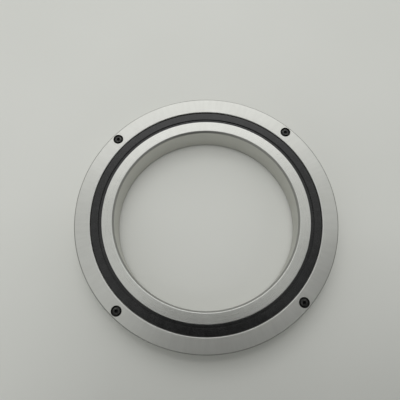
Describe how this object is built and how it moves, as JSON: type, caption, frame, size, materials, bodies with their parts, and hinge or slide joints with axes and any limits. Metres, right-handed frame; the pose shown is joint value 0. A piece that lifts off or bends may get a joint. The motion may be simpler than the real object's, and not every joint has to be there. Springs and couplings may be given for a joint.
{
  "type": "crossed roller bearing",
  "caption": "Thin-section crossed roller bearing: split outer ring held by cap screws, one-piece inner ring, crossed cylindrical rollers in a cage, and a rubber seal on each face.",
  "frame": {"origin": "centre of the bore in the plane of the lower faces", "axes": "+Z along the bearing's axis, towards the face that shows the screw heads"},
  "size_m": [0.2, 0.2, 0.025],
  "materials": {
    "ring_steel": "ground",
    "roller_steel": "polished",
    "seal_rubber": "moulded nitrile",
    "cage_nylon": "moulded",
    "screw_steel": "black oxide"
  },
  "bodies": {
    "outer_ring": {"outer_ring_upper": "ring_steel", "outer_ring_lower": "ring_steel", "seal_upper": "seal_rubber", "seal_lower": "seal_rubber", "outer_ring_screw_1": "screw_steel", "outer_ring_screw_2": "screw_steel", "outer_ring_screw_3": "screw_steel", "outer_ring_screw_4": "screw_steel"},
    "inner_ring": {"inner_ring": "ring_steel"},
    "cage": {"roller_cage": "cage_nylon"},
    "roller_01": {"roller_01": "roller_steel"},
    "roller_02": {"roller_02": "roller_steel"},
    "roller_03": {"roller_03": "roller_steel"},
    "roller_04": {"roller_04": "roller_steel"},
    "roller_05": {"roller_05": "roller_steel"},
    "roller_06": {"roller_06": "roller_steel"},
    "roller_07": {"roller_07": "roller_steel"},
    "roller_08": {"roller_08": "roller_steel"},
    "roller_09": {"roller_09": "roller_steel"},
    "roller_10": {"roller_10": "roller_steel"},
    "roller_11": {"roller_11": "roller_steel"},
    "roller_12": {"roller_12": "roller_steel"},
    "roller_13": {"roller_13": "roller_steel"},
    "roller_14": {"roller_14": "roller_steel"},
    "roller_15": {"roller_15": "roller_steel"},
    "roller_16": {"roller_16": "roller_steel"},
    "roller_17": {"roller_17": "roller_steel"},
    "roller_18": {"roller_18": "roller_steel"},
    "roller_19": {"roller_19": "roller_steel"},
    "roller_20": {"roller_20": "roller_steel"},
    "roller_21": {"roller_21": "roller_steel"},
    "roller_22": {"roller_22": "roller_steel"},
    "roller_23": {"roller_23": "roller_steel"},
    "roller_24": {"roller_24": "roller_steel"},
    "roller_25": {"roller_25": "roller_steel"},
    "roller_26": {"roller_26": "roller_steel"},
    "roller_27": {"roller_27": "roller_steel"},
    "roller_28": {"roller_28": "roller_steel"},
    "roller_29": {"roller_29": "roller_steel"},
    "roller_30": {"roller_30": "roller_steel"},
    "roller_31": {"roller_31": "roller_steel"},
    "roller_32": {"roller_32": "roller_steel"},
    "roller_33": {"roller_33": "roller_steel"},
    "roller_34": {"roller_34": "roller_steel"},
    "roller_35": {"roller_35": "roller_steel"},
    "roller_36": {"roller_36": "roller_steel"}
  },
  "joints": [
    {"name": "inner_ring_spin", "type": "hinge", "parent": "outer_ring", "child": "inner_ring", "pos_m": [0, 0, 0.0125], "axis": [0, 0, 1], "continuous": true},
    {"name": "cage_spin", "type": "hinge", "parent": "outer_ring", "child": "cage", "pos_m": [0, 0, 0.0125], "axis": [0, 0, 1], "continuous": true},
    {"name": "roller_01_spin", "type": "hinge", "parent": "cage", "child": "roller_01", "pos_m": [0.084, 0, 0.0125], "axis": [0.7071, 0, 0.7071], "continuous": true},
    {"name": "roller_02_spin", "type": "hinge", "parent": "cage", "child": "roller_02", "pos_m": [0.08272, 0.01459, 0.0125], "axis": [-0.6964, -0.1228, 0.7071], "continuous": true},
    {"name": "roller_03_spin", "type": "hinge", "parent": "cage", "child": "roller_03", "pos_m": [0.07893, 0.02873, 0.0125], "axis": [0.6645, 0.2418, 0.7071], "continuous": true},
    {"name": "roller_04_spin", "type": "hinge", "parent": "cage", "child": "roller_04", "pos_m": [0.07275, 0.042, 0.0125], "axis": [-0.6124, -0.3536, 0.7071], "continuous": true},
    {"name": "roller_05_spin", "type": "hinge", "parent": "cage", "child": "roller_05", "pos_m": [0.06435, 0.05399, 0.0125], "axis": [0.5417, 0.4545, 0.7071], "continuous": true},
    {"name": "roller_06_spin", "type": "hinge", "parent": "cage", "child": "roller_06", "pos_m": [0.05399, 0.06435, 0.0125], "axis": [-0.4545, -0.5417, 0.7071], "continuous": true},
    {"name": "roller_07_spin", "type": "hinge", "parent": "cage", "child": "roller_07", "pos_m": [0.042, 0.07275, 0.0125], "axis": [0.3536, 0.6124, 0.7071], "continuous": true},
    {"name": "roller_08_spin", "type": "hinge", "parent": "cage", "child": "roller_08", "pos_m": [0.02873, 0.07893, 0.0125], "axis": [-0.2418, -0.6645, 0.7071], "continuous": true},
    {"name": "roller_09_spin", "type": "hinge", "parent": "cage", "child": "roller_09", "pos_m": [0.01459, 0.08272, 0.0125], "axis": [0.1228, 0.6964, 0.7071], "continuous": true},
    {"name": "roller_10_spin", "type": "hinge", "parent": "cage", "child": "roller_10", "pos_m": [0, 0.084, 0.0125], "axis": [0, -0.7071, 0.7071], "continuous": true},
    {"name": "roller_11_spin", "type": "hinge", "parent": "cage", "child": "roller_11", "pos_m": [-0.01459, 0.08272, 0.0125], "axis": [-0.1228, 0.6964, 0.7071], "continuous": true},
    {"name": "roller_12_spin", "type": "hinge", "parent": "cage", "child": "roller_12", "pos_m": [-0.02873, 0.07893, 0.0125], "axis": [0.2418, -0.6645, 0.7071], "continuous": true},
    {"name": "roller_13_spin", "type": "hinge", "parent": "cage", "child": "roller_13", "pos_m": [-0.042, 0.07275, 0.0125], "axis": [-0.3536, 0.6124, 0.7071], "continuous": true},
    {"name": "roller_14_spin", "type": "hinge", "parent": "cage", "child": "roller_14", "pos_m": [-0.05399, 0.06435, 0.0125], "axis": [0.4545, -0.5417, 0.7071], "continuous": true},
    {"name": "roller_15_spin", "type": "hinge", "parent": "cage", "child": "roller_15", "pos_m": [-0.06435, 0.05399, 0.0125], "axis": [-0.5417, 0.4545, 0.7071], "continuous": true},
    {"name": "roller_16_spin", "type": "hinge", "parent": "cage", "child": "roller_16", "pos_m": [-0.07275, 0.042, 0.0125], "axis": [0.6124, -0.3536, 0.7071], "continuous": true},
    {"name": "roller_17_spin", "type": "hinge", "parent": "cage", "child": "roller_17", "pos_m": [-0.07893, 0.02873, 0.0125], "axis": [-0.6645, 0.2418, 0.7071], "continuous": true},
    {"name": "roller_18_spin", "type": "hinge", "parent": "cage", "child": "roller_18", "pos_m": [-0.08272, 0.01459, 0.0125], "axis": [0.6964, -0.1228, 0.7071], "continuous": true},
    {"name": "roller_19_spin", "type": "hinge", "parent": "cage", "child": "roller_19", "pos_m": [-0.084, 0, 0.0125], "axis": [-0.7071, 0, 0.7071], "continuous": true},
    {"name": "roller_20_spin", "type": "hinge", "parent": "cage", "child": "roller_20", "pos_m": [-0.08272, -0.01459, 0.0125], "axis": [0.6964, 0.1228, 0.7071], "continuous": true},
    {"name": "roller_21_spin", "type": "hinge", "parent": "cage", "child": "roller_21", "pos_m": [-0.07893, -0.02873, 0.0125], "axis": [-0.6645, -0.2418, 0.7071], "continuous": true},
    {"name": "roller_22_spin", "type": "hinge", "parent": "cage", "child": "roller_22", "pos_m": [-0.07275, -0.042, 0.0125], "axis": [0.6124, 0.3536, 0.7071], "continuous": true},
    {"name": "roller_23_spin", "type": "hinge", "parent": "cage", "child": "roller_23", "pos_m": [-0.06435, -0.05399, 0.0125], "axis": [-0.5417, -0.4545, 0.7071], "continuous": true},
    {"name": "roller_24_spin", "type": "hinge", "parent": "cage", "child": "roller_24", "pos_m": [-0.05399, -0.06435, 0.0125], "axis": [0.4545, 0.5417, 0.7071], "continuous": true},
    {"name": "roller_25_spin", "type": "hinge", "parent": "cage", "child": "roller_25", "pos_m": [-0.042, -0.07275, 0.0125], "axis": [-0.3536, -0.6124, 0.7071], "continuous": true},
    {"name": "roller_26_spin", "type": "hinge", "parent": "cage", "child": "roller_26", "pos_m": [-0.02873, -0.07893, 0.0125], "axis": [0.2418, 0.6645, 0.7071], "continuous": true},
    {"name": "roller_27_spin", "type": "hinge", "parent": "cage", "child": "roller_27", "pos_m": [-0.01459, -0.08272, 0.0125], "axis": [-0.1228, -0.6964, 0.7071], "continuous": true},
    {"name": "roller_28_spin", "type": "hinge", "parent": "cage", "child": "roller_28", "pos_m": [0, -0.084, 0.0125], "axis": [0, 0.7071, 0.7071], "continuous": true},
    {"name": "roller_29_spin", "type": "hinge", "parent": "cage", "child": "roller_29", "pos_m": [0.01459, -0.08272, 0.0125], "axis": [0.1228, -0.6964, 0.7071], "continuous": true},
    {"name": "roller_30_spin", "type": "hinge", "parent": "cage", "child": "roller_30", "pos_m": [0.02873, -0.07893, 0.0125], "axis": [-0.2418, 0.6645, 0.7071], "continuous": true},
    {"name": "roller_31_spin", "type": "hinge", "parent": "cage", "child": "roller_31", "pos_m": [0.042, -0.07275, 0.0125], "axis": [0.3536, -0.6124, 0.7071], "continuous": true},
    {"name": "roller_32_spin", "type": "hinge", "parent": "cage", "child": "roller_32", "pos_m": [0.05399, -0.06435, 0.0125], "axis": [-0.4545, 0.5417, 0.7071], "continuous": true},
    {"name": "roller_33_spin", "type": "hinge", "parent": "cage", "child": "roller_33", "pos_m": [0.06435, -0.05399, 0.0125], "axis": [0.5417, -0.4545, 0.7071], "continuous": true},
    {"name": "roller_34_spin", "type": "hinge", "parent": "cage", "child": "roller_34", "pos_m": [0.07275, -0.042, 0.0125], "axis": [-0.6124, 0.3536, 0.7071], "continuous": true},
    {"name": "roller_35_spin", "type": "hinge", "parent": "cage", "child": "roller_35", "pos_m": [0.07893, -0.02873, 0.0125], "axis": [0.6645, -0.2418, 0.7071], "continuous": true},
    {"name": "roller_36_spin", "type": "hinge", "parent": "cage", "child": "roller_36", "pos_m": [0.08272, -0.01459, 0.0125], "axis": [-0.6964, 0.1228, 0.7071], "continuous": true}
  ],
  "couplings": [
    {"joint": "cage_spin", "follows": "inner_ring_spin", "ratio": 0.47685},
    {"joint": "roller_01_spin", "follows": "inner_ring_spin", "ratio": -7.62},
    {"joint": "roller_02_spin", "follows": "inner_ring_spin", "ratio": -7.62},
    {"joint": "roller_03_spin", "follows": "inner_ring_spin", "ratio": -7.62},
    {"joint": "roller_04_spin", "follows": "inner_ring_spin", "ratio": -7.62},
    {"joint": "roller_05_spin", "follows": "inner_ring_spin", "ratio": -7.62},
    {"joint": "roller_06_spin", "follows": "inner_ring_spin", "ratio": -7.62},
    {"joint": "roller_07_spin", "follows": "inner_ring_spin", "ratio": -7.62},
    {"joint": "roller_08_spin", "follows": "inner_ring_spin", "ratio": -7.62},
    {"joint": "roller_09_spin", "follows": "inner_ring_spin", "ratio": -7.62},
    {"joint": "roller_10_spin", "follows": "inner_ring_spin", "ratio": -7.62},
    {"joint": "roller_11_spin", "follows": "inner_ring_spin", "ratio": -7.62},
    {"joint": "roller_12_spin", "follows": "inner_ring_spin", "ratio": -7.62},
    {"joint": "roller_13_spin", "follows": "inner_ring_spin", "ratio": -7.62},
    {"joint": "roller_14_spin", "follows": "inner_ring_spin", "ratio": -7.62},
    {"joint": "roller_15_spin", "follows": "inner_ring_spin", "ratio": -7.62},
    {"joint": "roller_16_spin", "follows": "inner_ring_spin", "ratio": -7.62},
    {"joint": "roller_17_spin", "follows": "inner_ring_spin", "ratio": -7.62},
    {"joint": "roller_18_spin", "follows": "inner_ring_spin", "ratio": -7.62},
    {"joint": "roller_19_spin", "follows": "inner_ring_spin", "ratio": -7.62},
    {"joint": "roller_20_spin", "follows": "inner_ring_spin", "ratio": -7.62},
    {"joint": "roller_21_spin", "follows": "inner_ring_spin", "ratio": -7.62},
    {"joint": "roller_22_spin", "follows": "inner_ring_spin", "ratio": -7.62},
    {"joint": "roller_23_spin", "follows": "inner_ring_spin", "ratio": -7.62},
    {"joint": "roller_24_spin", "follows": "inner_ring_spin", "ratio": -7.62},
    {"joint": "roller_25_spin", "follows": "inner_ring_spin", "ratio": -7.62},
    {"joint": "roller_26_spin", "follows": "inner_ring_spin", "ratio": -7.62},
    {"joint": "roller_27_spin", "follows": "inner_ring_spin", "ratio": -7.62},
    {"joint": "roller_28_spin", "follows": "inner_ring_spin", "ratio": -7.62},
    {"joint": "roller_29_spin", "follows": "inner_ring_spin", "ratio": -7.62},
    {"joint": "roller_30_spin", "follows": "inner_ring_spin", "ratio": -7.62},
    {"joint": "roller_31_spin", "follows": "inner_ring_spin", "ratio": -7.62},
    {"joint": "roller_32_spin", "follows": "inner_ring_spin", "ratio": -7.62},
    {"joint": "roller_33_spin", "follows": "inner_ring_spin", "ratio": -7.62},
    {"joint": "roller_34_spin", "follows": "inner_ring_spin", "ratio": -7.62},
    {"joint": "roller_35_spin", "follows": "inner_ring_spin", "ratio": -7.62},
    {"joint": "roller_36_spin", "follows": "inner_ring_spin", "ratio": -7.62}
  ]
}
